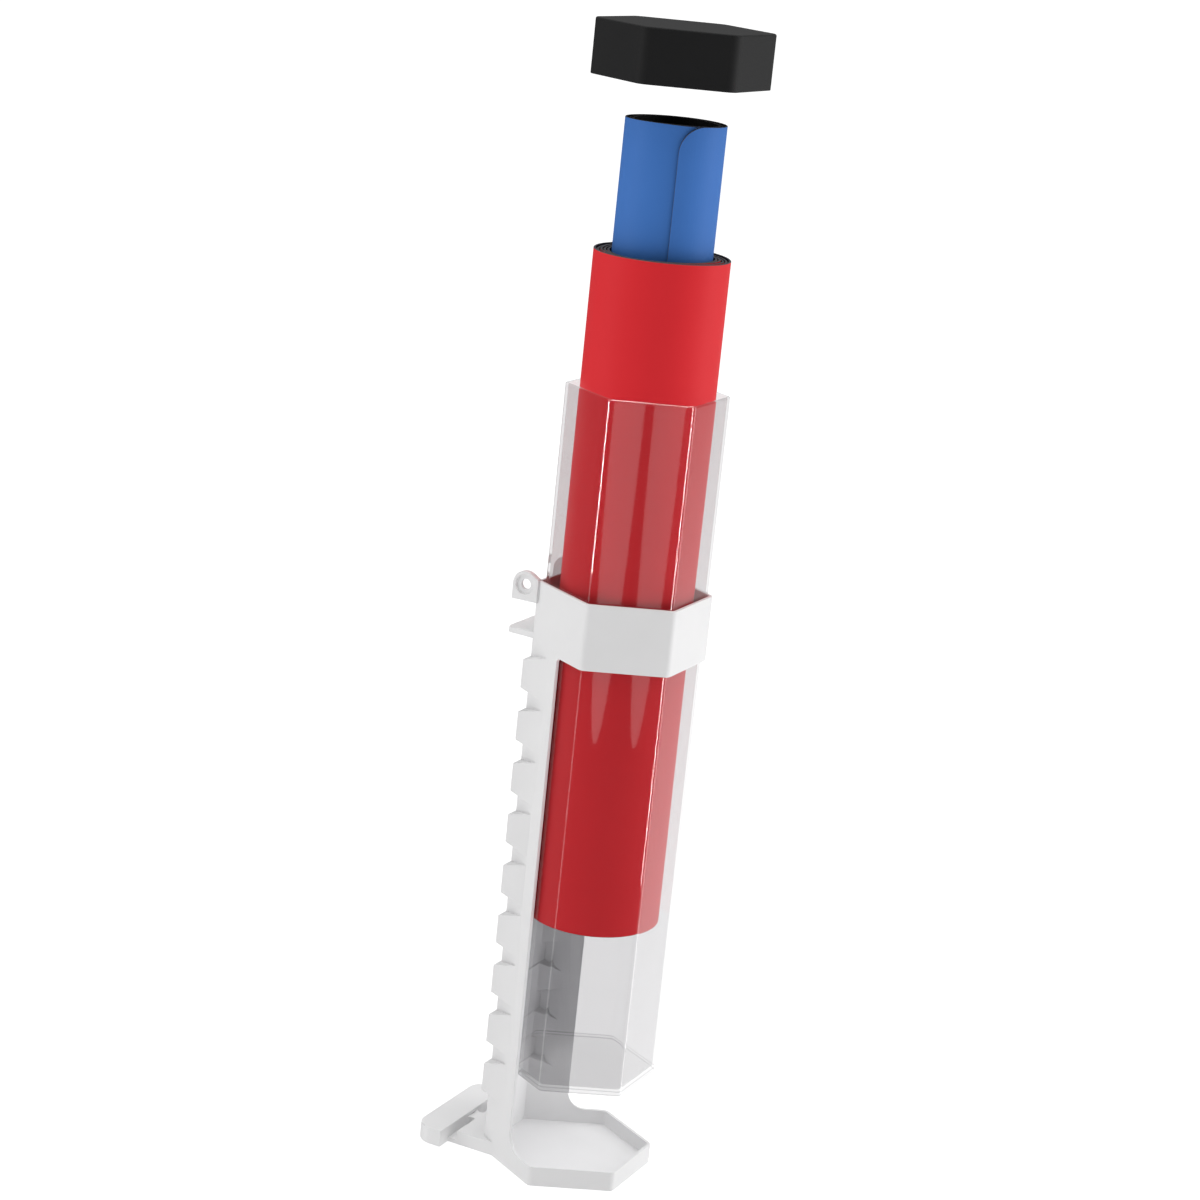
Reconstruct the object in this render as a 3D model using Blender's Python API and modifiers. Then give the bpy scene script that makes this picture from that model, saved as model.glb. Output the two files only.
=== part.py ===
"""Two rolled sheets in a clear hexagonal canister, held by a moulded wall bracket.

The set is shown drawn apart along its axis, the way it is unpacked: the canister is raised
in the bracket, the red roll is raised in the canister, the blue roll in the red roll, and
the cap is above them.  Every one of them slides straight up and down along Z.

Frame: +Z is the axis of the canister, the origin is the centre of the cup's underside, and
+Y points out of the bracket's back.  The hexagons have flats facing +Y and -Y and corners on
the X axis.
"""
import math

import bmesh
import bpy
from mathutils import Matrix

MM = 0.001
CLEARANCE = 0.3 * MM           # between neighbours that touch or slide on each other
CUT_PAST = 2.0 * MM            # how far a cutter runs past the face that it opens

# Bracket: one white moulding, built as its cup, spine, collar, lugs, catch and foot
BRACKET_APOTHEM = 35.0 * MM    # half of the width across the flats
BRACKET_CORNER = 3.5 * MM
BRACKET_WALL = 1.7 * MM
SPINE_BACK_PROUD = 1.5 * MM    # the spine's flat back stands this far out of the hexagon
COLLAR_HEIGHT = 31.2 * MM

CUP_HEIGHT = 9.8 * MM
CUP_FLOOR = 2.5 * MM

TOOTH_COUNT = 9
TOOTH_PITCH = 25.4 * MM
TOOTH_SHORT_OF_WING = 4.3 * MM  # from a tooth's end to the wing's end, along X
TOOTH_PROUD = 0.6 * MM         # a tooth's back stands this far out of the spine's back
TOOTH_GAP = 11.6 * MM          # between the flat backs of two teeth
TOOTH_TOP_RISE = math.tan(math.radians(14))      # the top rises toward the front
TOOTH_UNDER_DROP = math.tan(math.radians(19))    # the underside falls toward the front
TOOTH_BELOW_COLLAR = 5.6 * MM  # from the collar's lower edge to the first tooth's tip
TOOTH_ABOVE_CUP = 23.8 * MM    # from the cup's rim to the last tooth's tip
TOOTH_REACH = 19.0 * MM        # from a tooth's back to its root

WING_FILLET = 9.0 * MM         # round between a wing's front edge and the cup's rim

LUG_PAST_BACK = 2.16 * MM      # a lug's outer face stands this far out of the spine's flat back
LUG_THICK = 3.2 * MM
LUG_HOLE_BEHIND = 5.6 * MM     # from the spine's back to the hole's centre
LUG_HOLE_ABOVE_RIM = -2.9 * MM  # from the collar's upper edge to the hole's centre
LUG_RADIUS = 6.4 * MM
LUG_BELOW_HOLE = 7.6 * MM
LUG_TOP_FALL = 3.5 * MM        # how far the top falls from its round to the wing
LUG_BORE_RADIUS = 2.4 * MM
LUG_RECESS_RADIUS = 4.7 * MM
LUG_RECESS_DEPTH = 1.1 * MM

CATCH_HALF_WIDTH = 20.0 * MM
CATCH_DEPTH = 13.6 * MM        # from the spine's back
CATCH_THICK = 2.7 * MM
CATCH_ABOVE_COLLAR = 3.8 * MM  # from the collar's lower edge to the catch's underside
CATCH_CHAMFER_WIDTH = 4.0 * MM
CATCH_CHAMFER_DEPTH = 1.0 * MM

FOOT_HALF_WIDTH = 23.4 * MM
FOOT_FLOOR = 2.4 * MM
FOOT_BLOCK_HEIGHT = 7.0 * MM
FOOT_SLOT = 4.6 * MM
FOOT_REACH = 19.0 * MM         # from the cup's back flat to the bar
BAR_DEPTH = 15.0 * MM
BAR_HALF_WIDTH = 31.6 * MM
BAR_HEIGHT = 8.4 * MM
BAR_CORNER = 9.5 * MM
FOOT_RIB_HALF_WIDTH = 4.0 * MM
FOOT_RIB_HEIGHT = 6.0 * MM

# Canister: clear hexagonal tube, closed at the bottom
TUBE_LENGTH = 333.4 * MM
TUBE_WALL = 1.5 * MM
TUBE_FLOOR = 3.0 * MM
TUBE_CORNER = 3.2 * MM
TUBE_FOOT_BEVEL = 0.8 * MM
TUBE_RAISED = 45.2 * MM        # above its seat in the cup

# Rolls: each a sheet wound on itself
ROLL_SHORT_OF_RIM = 13.1 * MM  # from a roll's upper end to the canister's rim, when packed
ROLL_PLAY = 0.4 * MM           # round the red roll, and round the blue roll in its bore
RED_WALL = 7.8 * MM
BLUE_WALL = 4.8 * MM
RED_RAISED = 75.4 * MM         # above its seat on the canister's floor
BLUE_RAISED = 59.3 * MM        # above the red roll's lower end
ROLL_STEPS = 56

# Cap: black, fits over the canister's mouth
CAP_WALL = 2.25 * MM
CAP_CORNER = 6.0 * MM
CAP_HEIGHT = 24.7 * MM
CAP_TOP = 2.4 * MM
CAP_EDGE = 1.0 * MM
CAP_RAISED = 25.9 * MM         # above its seat on the canister's rim, with the rolls home

# Sizes and heights that follow
COS_30 = math.sqrt(3) / 2
SPINE_INNER_APOTHEM = BRACKET_APOTHEM - BRACKET_WALL
SPINE_BACK_Y = BRACKET_APOTHEM + SPINE_BACK_PROUD
TUBE_APOTHEM = SPINE_INNER_APOTHEM - CLEARANCE
TUBE_INNER_APOTHEM = TUBE_APOTHEM - TUBE_WALL
RED_RADIUS = TUBE_INNER_APOTHEM - ROLL_PLAY
RED_BORE = RED_RADIUS - RED_WALL
BLUE_RADIUS = RED_BORE - ROLL_PLAY
BLUE_BORE = BLUE_RADIUS - BLUE_WALL
CAP_INNER_APOTHEM = TUBE_APOTHEM + CLEARANCE
CAP_APOTHEM = CAP_INNER_APOTHEM + CAP_WALL

TOOTH_TIP_HEIGHT = TOOTH_PITCH - TOOTH_GAP       # height of the flat at the back of a tooth
TOOTH_BACK_Y = SPINE_BACK_Y + TOOTH_PROUD
RACK_LENGTH = (TOOTH_COUNT - 1) * TOOTH_PITCH + TOOTH_TIP_HEIGHT
COLLAR_LOW_Z = CUP_HEIGHT + TOOTH_ABOVE_CUP + RACK_LENGTH + TOOTH_BELOW_COLLAR
COLLAR_TOP_Z = COLLAR_LOW_Z + COLLAR_HEIGHT
SPINE_LOW_Z = CUP_HEIGHT + CLEARANCE
WING_X = BRACKET_APOTHEM * COS_30                # a wing ends at the middle of its flat
WING_Y = BRACKET_APOTHEM / 2
TOOTH_HALF_WIDTH = WING_X - TOOTH_SHORT_OF_WING
BACK_HALF_WIDTH = (BRACKET_APOTHEM - SPINE_BACK_Y / 2) / COS_30
LUG_OUTER_X = BACK_HALF_WIDTH + LUG_PAST_BACK
LUG_HOLE_Y = SPINE_BACK_Y + LUG_HOLE_BEHIND
LUG_HOLE_Z = COLLAR_TOP_Z + LUG_HOLE_ABOVE_RIM
CATCH_BACK_Y = SPINE_BACK_Y + CATCH_DEPTH
CATCH_LOW_Z = COLLAR_LOW_Z + CATCH_ABOVE_COLLAR
BAR_FRONT_Y = BRACKET_APOTHEM + FOOT_REACH

TUBE_LOW_Z = CUP_FLOOR + CLEARANCE + TUBE_RAISED
TUBE_TOP_Z = TUBE_LOW_Z + TUBE_LENGTH
ROLL_LENGTH = TUBE_LENGTH - TUBE_FLOOR - CLEARANCE - ROLL_SHORT_OF_RIM
RED_LOW_Z = TUBE_LOW_Z + TUBE_FLOOR + CLEARANCE + RED_RAISED
BLUE_LOW_Z = RED_LOW_Z + BLUE_RAISED
CAP_CEILING_Z = BLUE_LOW_Z + ROLL_LENGTH + ROLL_SHORT_OF_RIM + CLEARANCE + CAP_RAISED
CAP_LOW_Z = CAP_CEILING_Z + CAP_TOP - CAP_HEIGHT


# Scene and materials

def clear_scene():
    for item in list(bpy.data.objects):
        bpy.data.objects.remove(item, do_unlink=True)


def new_collection(name):
    collection = bpy.data.collections.new(name)
    bpy.context.scene.collection.children.link(collection)
    return collection


def new_material(name, colour, roughness, transmission=0.0):
    material = bpy.data.materials.new(name)
    material.use_nodes = True
    shader = material.node_tree.nodes["Principled BSDF"]
    shader.inputs["Base Color"].default_value = (*colour, 1.0)
    shader.inputs["Roughness"].default_value = roughness
    shader.inputs["Metallic"].default_value = 0.0
    shader.inputs["Transmission Weight"].default_value = transmission
    return material


def mesh_object(name, bm, collection, material=None):
    """Turn a bmesh into an object of the given collection."""
    bmesh.ops.recalc_face_normals(bm, faces=bm.faces)
    mesh = bpy.data.meshes.new(name)
    bm.to_mesh(mesh)
    bm.free()
    item = bpy.data.objects.new(name, mesh)
    collection.objects.link(item)
    if material:
        mesh.materials.append(material)
    return item


def as_cutter(item):
    item.hide_render = True
    item.display_type = "WIRE"
    return item


def boolean(item, operation, other):
    modifier = item.modifiers.new(f"{operation.lower()} {other.name}", "BOOLEAN")
    modifier.operation = operation
    modifier.solver = "EXACT"
    modifier.object = other


def shade_round(item):
    """Shade the round stretches smooth and keep edges over 35 degrees sharp."""
    item.data.shade_smooth()
    item.data.set_sharp_from_angle(angle=math.radians(35))


# Shapes

def add_box(bm, low, high):
    """Add a box between two corners."""
    size = [b - a for a, b in zip(low, high)]
    middle = [(a + b) / 2 for a, b in zip(low, high)]
    place = Matrix.Translation(middle) @ Matrix.Diagonal((*size, 1.0))
    bmesh.ops.create_cube(bm, size=1.0, matrix=place)


def add_cylinder_x(bm, radius, x_low, x_high, y, z, segments=32):
    """Add a cylinder that lies along X."""
    place = Matrix.Translation(((x_low + x_high) / 2, y, z)) @ Matrix.Rotation(math.pi / 2, 4, "Y")
    bmesh.ops.create_cone(bm, cap_ends=True, segments=segments, radius1=radius, radius2=radius,
                          depth=x_high - x_low, matrix=place)


def upright_edges(bm):
    return [edge for edge in bm.edges
            if abs(edge.verts[0].co.z - edge.verts[1].co.z) > 0.9 * edge.calc_length()]


def level_edges(bm, z):
    return [edge for edge in bm.edges
            if all(abs(vert.co.z - z) < 0.01 * MM for vert in edge.verts)]


def round_edges(bm, edges, offset, segments):
    bmesh.ops.bevel(bm, geom=edges, offset=offset, offset_type="OFFSET", segments=segments,
                    profile=0.5, affect="EDGES")


def hexagon_prism(name, apothem, corner, low_z, high_z, collection, material=None,
                  edge_z=None, edge_bevel=0.0):
    """A hexagonal prism with rounded upright corners, and one rounded end if edge_z is given."""
    bm = bmesh.new()
    place = Matrix.Translation((0, 0, (low_z + high_z) / 2)) @ Matrix.Rotation(math.pi / 6, 4, "Z")
    radius = apothem / COS_30
    bmesh.ops.create_cone(bm, cap_ends=True, segments=6, radius1=radius, radius2=radius,
                          depth=high_z - low_z, matrix=place)
    if corner > 0:
        round_edges(bm, upright_edges(bm), corner * math.tan(math.pi / 6), 5)
    if edge_z is not None:
        round_edges(bm, level_edges(bm, edge_z), edge_bevel, 2)
    return mesh_object(name, bm, collection, material)


def outline_prism(name, points, low_z, high_z, collection, material=None):
    """A flat outline in plan, filled and carried straight up."""
    bm = bmesh.new()
    verts = [bm.verts.new((x, y, low_z)) for x, y in points]
    face = bm.faces.new(verts)
    raised = bmesh.ops.extrude_face_region(bm, geom=[face])
    moved = [item for item in raised["geom"] if isinstance(item, bmesh.types.BMVert)]
    bmesh.ops.translate(bm, verts=moved, vec=(0, 0, high_z - low_z))
    return mesh_object(name, bm, collection, material)


def arc(centre, radius, start, end, steps):
    """Points on an arc; the angles are in degrees."""
    angles = [math.radians(start + (end - start) * i / steps) for i in range(steps + 1)]
    return [(centre[0] + radius * math.cos(a), centre[1] + radius * math.sin(a)) for a in angles]


# Bracket

def make_cup(parts, cutters, white):
    cup = hexagon_prism("bracket_cup", BRACKET_APOTHEM, BRACKET_CORNER, 0, CUP_HEIGHT, parts, white)
    hollow = as_cutter(hexagon_prism(
        "cup_hollow", SPINE_INNER_APOTHEM, BRACKET_CORNER - BRACKET_WALL, CUP_FLOOR,
        CUP_HEIGHT + CUT_PAST, cutters))
    boolean(cup, "DIFFERENCE", hollow)
    shade_round(cup)
    return cup


def channel_strip(name, front, low_z, high_z, collection, material=None):
    """An open strip of wall in plan, given thickness inward by Solidify."""
    bm = bmesh.new()
    low = [bm.verts.new((x, y, low_z)) for x, y in front]
    high = [bm.verts.new((x, y, high_z)) for x, y in front]
    for i in range(len(front) - 1):
        bm.faces.new((low[i], low[i + 1], high[i + 1], high[i]))
    mesh = bpy.data.meshes.new(name)
    bm.to_mesh(mesh)
    bm.free()
    item = bpy.data.objects.new(name, mesh)
    collection.objects.link(item)
    if material:
        mesh.materials.append(material)
    wall = item.modifiers.new("wall", "SOLIDIFY")
    wall.thickness = BRACKET_WALL
    wall.offset = -1
    wall.use_even_offset = True
    return item


def spine_plan(apothem, back, front):
    """The spine in plan for two sloping flats at this apothem and a back at this Y: from the
    right flat at Y = front, round the back, to the left flat."""
    half_back = (apothem - back / 2) / COS_30
    half_front = (apothem - front / 2) / COS_30
    return [(half_front, front), (half_back, back), (-half_back, back), (-half_front, front)]


def add_tooth(bm, tip_z, inset, reach):
    """One wedge of the rack: tip_z is the lower end of its back, inset draws its faces in."""
    half = TOOTH_HALF_WIDTH - inset
    back = TOOTH_BACK_Y - inset
    front = TOOTH_BACK_Y - reach
    run = reach - inset
    low, high = tip_z + inset, tip_z + TOOTH_TIP_HEIGHT - inset
    side = [(back, low), (back, high), (front, high + run * TOOTH_TOP_RISE),
            (front, low - run * TOOTH_UNDER_DROP)]
    verts = [bm.verts.new((-half, y, z)) for y, z in side]
    face = bm.faces.new(verts)
    swept = bmesh.ops.extrude_face_region(bm, geom=[face])
    moved = [item for item in swept["geom"] if isinstance(item, bmesh.types.BMVert)]
    bmesh.ops.translate(bm, verts=moved, vec=(2 * half, 0, 0))


def tooth_tips():
    """The lower end of each tooth's back, from the top tooth down."""
    first = COLLAR_LOW_Z - TOOTH_BELOW_COLLAR - TOOTH_TIP_HEIGHT
    return [first - i * TOOTH_PITCH for i in range(TOOTH_COUNT)]


def make_teeth(name, inset, reach, cutters):
    bm = bmesh.new()
    for tip_z in tooth_tips():
        add_tooth(bm, tip_z, inset, reach)
    return as_cutter(mesh_object(name, bm, cutters))


def make_wing_fillets(cutters):
    """The round webs that spread the wings' front edges into the cup's rim."""
    into_wing = 1.0 * MM
    points = [(-into_wing, WING_FILLET), (-into_wing, 0)]
    points += arc((WING_FILLET, WING_FILLET), WING_FILLET, 270, 180, 6)
    fillets = []
    for label in ("left", "right"):
        bm = bmesh.new()
        face = bm.faces.new([bm.verts.new((u, 0, v)) for u, v in points])
        swept = bmesh.ops.extrude_face_region(bm, geom=[face])
        moved = [item for item in swept["geom"] if isinstance(item, bmesh.types.BMVert)]
        bmesh.ops.translate(bm, verts=moved, vec=(0, BRACKET_WALL, 0))
        # in plan, X now runs along the left wing toward the front and Y toward the axis
        place = Matrix.Translation((-WING_X, WING_Y, SPINE_LOW_Z)) @ Matrix.Rotation(
            math.radians(-120), 4, "Z")
        if label == "right":
            place = Matrix.Scale(-1, 4, (1, 0, 0)) @ place
        bmesh.ops.transform(bm, matrix=place, verts=bm.verts)
        fillets.append(as_cutter(mesh_object(f"wing_fillet_{label}", bm, cutters)))
    return fillets


def make_spine(parts, cutters, white):
    """Channel with nine hollow teeth on its back and a round web at the foot of each wing."""
    spine = channel_strip("bracket_spine", spine_plan(BRACKET_APOTHEM, SPINE_BACK_Y, WING_Y),
                          SPINE_LOW_Z, COLLAR_TOP_Z, parts, white)
    # the blocks end half way into the channel's wall, so that none of them stands in its bore
    middle = BRACKET_WALL / 2
    mid_wall = spine_plan(BRACKET_APOTHEM - middle, SPINE_BACK_Y - middle, 0)
    inside = as_cutter(outline_prism("spine_mid_wall", mid_wall, SPINE_LOW_Z - CUT_PAST,
                                     COLLAR_TOP_Z + CUT_PAST, cutters))
    blocks = make_teeth("tooth_blocks", 0, TOOTH_REACH, cutters)
    boolean(blocks, "DIFFERENCE", inside)
    boolean(spine, "UNION", blocks)
    boolean(spine, "DIFFERENCE", make_teeth("tooth_pockets", BRACKET_WALL, TOOTH_REACH + CUT_PAST,
                                            cutters))
    for fillet in make_wing_fillets(cutters):
        boolean(spine, "UNION", fillet)
    return spine


def make_collar(parts, cutters, white):
    """The band round the front of the canister, between the two wings."""
    collar = hexagon_prism("bracket_collar", BRACKET_APOTHEM, BRACKET_CORNER, COLLAR_LOW_Z,
                           COLLAR_TOP_Z, parts, white)
    hollow = as_cutter(hexagon_prism(
        "collar_hollow", SPINE_INNER_APOTHEM, BRACKET_CORNER - BRACKET_WALL,
        COLLAR_LOW_Z - CUT_PAST, COLLAR_TOP_Z + CUT_PAST, cutters))
    boolean(collar, "DIFFERENCE", hollow)
    # the wings end square to their own flats, so the band is cut along lines out of the axis
    reach = 2 * BRACKET_APOTHEM
    near, far = SPINE_INNER_APOTHEM - CUT_PAST, BRACKET_APOTHEM + CUT_PAST
    inner = (near * COS_30 - CLEARANCE / 2, near / 2 - CLEARANCE * COS_30)
    outer = (far * COS_30 - CLEARANCE / 2, far / 2 - CLEARANCE * COS_30)
    edge = [inner, outer, (reach, reach), (-reach, reach), (-outer[0], outer[1]),
            (-inner[0], inner[1])]
    behind = as_cutter(outline_prism("collar_behind", edge, COLLAR_LOW_Z - CUT_PAST,
                                     COLLAR_TOP_Z + CUT_PAST, cutters))
    boolean(collar, "DIFFERENCE", behind)
    shade_round(collar)
    return collar


def spine_envelope(cutters):
    """The spine's outside with a clearance, which trims what joins its back."""
    points = spine_plan(BRACKET_APOTHEM + CLEARANCE, SPINE_BACK_Y + CLEARANCE, 0)
    return as_cutter(outline_prism("spine_envelope", points, COLLAR_LOW_Z - CUT_PAST,
                                   LUG_HOLE_Z + LUG_RADIUS + CUT_PAST, cutters))


def make_lug(side, envelope, parts, cutters, white):
    """An eye with a recessed hole along X, square at the bottom and round at the top."""
    label = "left" if side < 0 else "right"
    outer = side * LUG_OUTER_X
    inner = side * (LUG_OUTER_X - LUG_THICK)
    side_view = [(WING_Y, LUG_HOLE_Z - LUG_BELOW_HOLE),
                 (LUG_HOLE_Y + LUG_RADIUS, LUG_HOLE_Z - LUG_BELOW_HOLE)]
    side_view += arc((LUG_HOLE_Y, LUG_HOLE_Z), LUG_RADIUS, 0, 120, 12)
    side_view += [(WING_Y, LUG_HOLE_Z + LUG_RADIUS * COS_30 - LUG_TOP_FALL)]
    bm = bmesh.new()
    verts = [bm.verts.new((min(inner, outer), y, z)) for y, z in side_view]
    face = bm.faces.new(verts)
    swept = bmesh.ops.extrude_face_region(bm, geom=[face])
    moved = [item for item in swept["geom"] if isinstance(item, bmesh.types.BMVert)]
    bmesh.ops.translate(bm, verts=moved, vec=(LUG_THICK, 0, 0))
    lug = mesh_object(f"bracket_lug_{label}", bm, parts, white)
    bm = bmesh.new()
    add_cylinder_x(bm, LUG_BORE_RADIUS, min(inner, outer) - CUT_PAST, max(inner, outer) + CUT_PAST,
                   LUG_HOLE_Y, LUG_HOLE_Z, 24)
    bore = as_cutter(mesh_object(f"lug_bore_{label}", bm, cutters))
    bm = bmesh.new()
    low_x, high_x = sorted((outer - side * LUG_RECESS_DEPTH, outer + side * CUT_PAST))
    add_cylinder_x(bm, LUG_RECESS_RADIUS, low_x, high_x, LUG_HOLE_Y, LUG_HOLE_Z)
    recess = as_cutter(mesh_object(f"lug_recess_{label}", bm, cutters))
    boolean(lug, "DIFFERENCE", envelope)
    boolean(lug, "DIFFERENCE", bore)
    boolean(lug, "DIFFERENCE", recess)
    shade_round(lug)
    return lug


def make_catch(parts, white):
    """The thin shelf behind the collar, with its back corners cut off."""
    front = SPINE_BACK_Y + CLEARANCE
    side = CATCH_BACK_Y - CATCH_CHAMFER_DEPTH
    end = CATCH_HALF_WIDTH - CATCH_CHAMFER_WIDTH
    points = [(-CATCH_HALF_WIDTH, front), (CATCH_HALF_WIDTH, front), (CATCH_HALF_WIDTH, side),
              (end, CATCH_BACK_Y), (-end, CATCH_BACK_Y), (-CATCH_HALF_WIDTH, side)]
    return outline_prism("bracket_catch", points, CATCH_LOW_Z, CATCH_LOW_Z + CATCH_THICK,
                         parts, white)


def make_foot(parts, cutters, white):
    """The T-shaped hook at the bottom: a block, a slot with a middle rib, and a wide bar."""
    front = BRACKET_APOTHEM + CLEARANCE
    block_back = BAR_FRONT_Y - FOOT_SLOT
    overlap = 1.0 * MM
    back = BAR_FRONT_Y + BAR_DEPTH
    left = (BAR_CORNER - BAR_HALF_WIDTH, back - BAR_CORNER)
    right = (BAR_HALF_WIDTH - BAR_CORNER, back - BAR_CORNER)
    outline = [(-BAR_HALF_WIDTH, BAR_FRONT_Y), (BAR_HALF_WIDTH, BAR_FRONT_Y)]
    outline += arc(right, BAR_CORNER, 0, 90, 8) + arc(left, BAR_CORNER, 90, 180, 8)
    foot = outline_prism("bracket_foot", outline, 0, BAR_HEIGHT, parts, white)
    bm = bmesh.new()
    add_box(bm, (-FOOT_HALF_WIDTH, front, 0),
            (FOOT_HALF_WIDTH, BAR_FRONT_Y + overlap, FOOT_FLOOR))
    neck = as_cutter(mesh_object("foot_neck", bm, cutters))
    bm = bmesh.new()
    add_box(bm, (-FOOT_HALF_WIDTH, front, FOOT_FLOOR - overlap),
            (FOOT_HALF_WIDTH, block_back, FOOT_BLOCK_HEIGHT))
    block = as_cutter(mesh_object("foot_block", bm, cutters))
    bm = bmesh.new()
    add_box(bm, (-FOOT_RIB_HALF_WIDTH, block_back - overlap, FOOT_FLOOR - overlap),
            (FOOT_RIB_HALF_WIDTH, BAR_FRONT_Y + overlap, FOOT_RIB_HEIGHT))
    rib = as_cutter(mesh_object("foot_rib", bm, cutters))
    boolean(foot, "UNION", neck)
    boolean(foot, "UNION", block)
    boolean(foot, "UNION", rib)
    shade_round(foot)
    return foot


# Canister, rolls and cap

def make_tube(parts, cutters, clear):
    tube = hexagon_prism("canister_tube", TUBE_APOTHEM, TUBE_CORNER, TUBE_LOW_Z, TUBE_TOP_Z,
                         parts, clear, TUBE_LOW_Z, TUBE_FOOT_BEVEL)
    hollow = as_cutter(hexagon_prism(
        "tube_hollow", TUBE_INNER_APOTHEM, TUBE_CORNER - TUBE_WALL, TUBE_LOW_Z + TUBE_FLOOR,
        TUBE_TOP_Z + CUT_PAST, cutters))
    boolean(tube, "DIFFERENCE", hollow)
    shade_round(tube)
    return tube


def make_roll(name, bore, radius, low_z, parts, material):
    """A rolled sheet as a plain hollow cylinder, turned about the axis by Screw."""
    high_z = low_z + ROLL_LENGTH
    bm = bmesh.new()
    corners = [(radius, high_z), (radius, low_z), (bore, low_z), (bore, high_z)]
    verts = [bm.verts.new((x, 0, z)) for x, z in corners]
    for i in range(len(verts)):
        bm.edges.new((verts[i], verts[(i + 1) % len(verts)]))
    mesh = bpy.data.meshes.new(name)
    bm.to_mesh(mesh)
    bm.free()
    roll = bpy.data.objects.new(name, mesh)
    parts.objects.link(roll)
    mesh.materials.append(material)
    turn = roll.modifiers.new("turn", "SCREW")
    turn.axis = "Z"
    turn.steps = ROLL_STEPS
    turn.render_steps = ROLL_STEPS
    turn.use_merge_vertices = True
    turn.merge_threshold = 0.01 * MM
    turn.use_smooth_shade = True
    return roll


def make_cap(parts, cutters, black):
    high_z = CAP_CEILING_Z + CAP_TOP
    cap = hexagon_prism("cap", CAP_APOTHEM, CAP_CORNER, CAP_LOW_Z, high_z, parts, black,
                        high_z, CAP_EDGE)
    hollow = as_cutter(hexagon_prism(
        "cap_hollow", CAP_INNER_APOTHEM, TUBE_CORNER, CAP_LOW_Z - CUT_PAST, CAP_CEILING_Z,
        cutters))
    boolean(cap, "DIFFERENCE", hollow)
    shade_round(cap)
    return cap


def main():
    clear_scene()
    parts = new_collection("rolled_sheet_canister")
    cutters = new_collection("cutters")
    white = new_material("white_moulding", (0.83, 0.83, 0.84), 0.42)
    clear = new_material("clear_canister", (0.95, 0.96, 0.97), 0.06, transmission=1.0)
    red = new_material("red_sheet", (0.58, 0.02, 0.03), 0.55)
    blue = new_material("blue_sheet", (0.06, 0.19, 0.52), 0.55)
    black = new_material("black_cap", (0.012, 0.012, 0.013), 0.6)

    make_cup(parts, cutters, white)
    make_spine(parts, cutters, white)
    make_collar(parts, cutters, white)
    envelope = spine_envelope(cutters)
    make_lug(-1, envelope, parts, cutters, white)
    make_lug(1, envelope, parts, cutters, white)
    make_catch(parts, white)
    make_foot(parts, cutters, white)
    make_tube(parts, cutters, clear)
    make_roll("red_sheet_roll", RED_BORE, RED_RADIUS, RED_LOW_Z, parts, red)
    make_roll("blue_sheet_roll", BLUE_BORE, BLUE_RADIUS, BLUE_LOW_Z, parts, blue)
    make_cap(parts, cutters, black)


main()
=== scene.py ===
# %% [markdown]
# # A rolled-sheet canister set in its wall bracket
#
# The set is shown drawn apart along its axis: a clear hexagonal canister raised in a white
# moulded bracket, a red roll raised in the canister, a blue roll raised in the red one, and a
# black cap above them all. Everything is in metres, +Z is the canister's axis, and +Y points out
# of the bracket's back.

import math

import bmesh
import bpy
import numpy as np
from mathutils import Matrix, Vector


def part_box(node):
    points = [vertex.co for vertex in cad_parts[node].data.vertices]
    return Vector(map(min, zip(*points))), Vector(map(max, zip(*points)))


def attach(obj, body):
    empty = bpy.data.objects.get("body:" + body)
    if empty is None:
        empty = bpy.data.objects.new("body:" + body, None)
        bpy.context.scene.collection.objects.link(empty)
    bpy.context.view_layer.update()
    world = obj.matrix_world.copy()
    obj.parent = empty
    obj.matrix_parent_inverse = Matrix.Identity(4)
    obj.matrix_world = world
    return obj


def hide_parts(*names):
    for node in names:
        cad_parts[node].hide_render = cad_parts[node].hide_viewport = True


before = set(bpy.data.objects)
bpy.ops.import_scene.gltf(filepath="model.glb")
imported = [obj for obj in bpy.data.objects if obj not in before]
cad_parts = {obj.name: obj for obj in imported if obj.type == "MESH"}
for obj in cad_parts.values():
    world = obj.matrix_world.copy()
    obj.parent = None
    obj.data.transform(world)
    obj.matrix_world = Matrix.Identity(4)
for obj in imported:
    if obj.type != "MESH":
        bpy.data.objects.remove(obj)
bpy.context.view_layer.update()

# %% Sizes read from the frame
MM = 0.001
COS_30 = math.cos(math.radians(30))

cup_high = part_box("bracket_cup")[1]
spine_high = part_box("bracket_spine")[1]
collar_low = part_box("bracket_collar")[0]
lug_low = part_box("bracket_lug_left")[0]
catch_low, catch_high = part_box("bracket_catch")
foot_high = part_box("bracket_foot")[1]
tube_low, tube_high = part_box("canister_tube")
red_low, red_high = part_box("red_sheet_roll")
blue_low, blue_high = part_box("blue_sheet_roll")
cap_low, cap_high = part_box("cap")
print(f"bracket {spine_high.z / MM:.1f} mm high, canister {(tube_high.z - tube_low.z) / MM:.1f} mm long")

# %% [markdown]
# ## Camera
#
# The set is seen from its left front corner and a little from above. A long lens keeps its
# upright edges nearly parallel. The camera is rolled a few degrees, so the set leans in the
# view. Its place is given in turns about the set's axis, which is easier to change than a
# rotation matrix.

# %% Camera
CAMERA_AZIMUTH = -64.73        # degrees about the axis; 0 looks along +Y
CAMERA_DISTANCE = 1.288        # from the axis, along the floor
CAMERA_HEIGHT = 0.6187
CAMERA_YAW = 0.53              # how far the view turns off the axis
CAMERA_PITCH = 14.708          # how far it looks down
CAMERA_ROLL = 5.894
CAMERA_LENS = 86.26            # millimetres, on a sensor 36 mm wide

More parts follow.
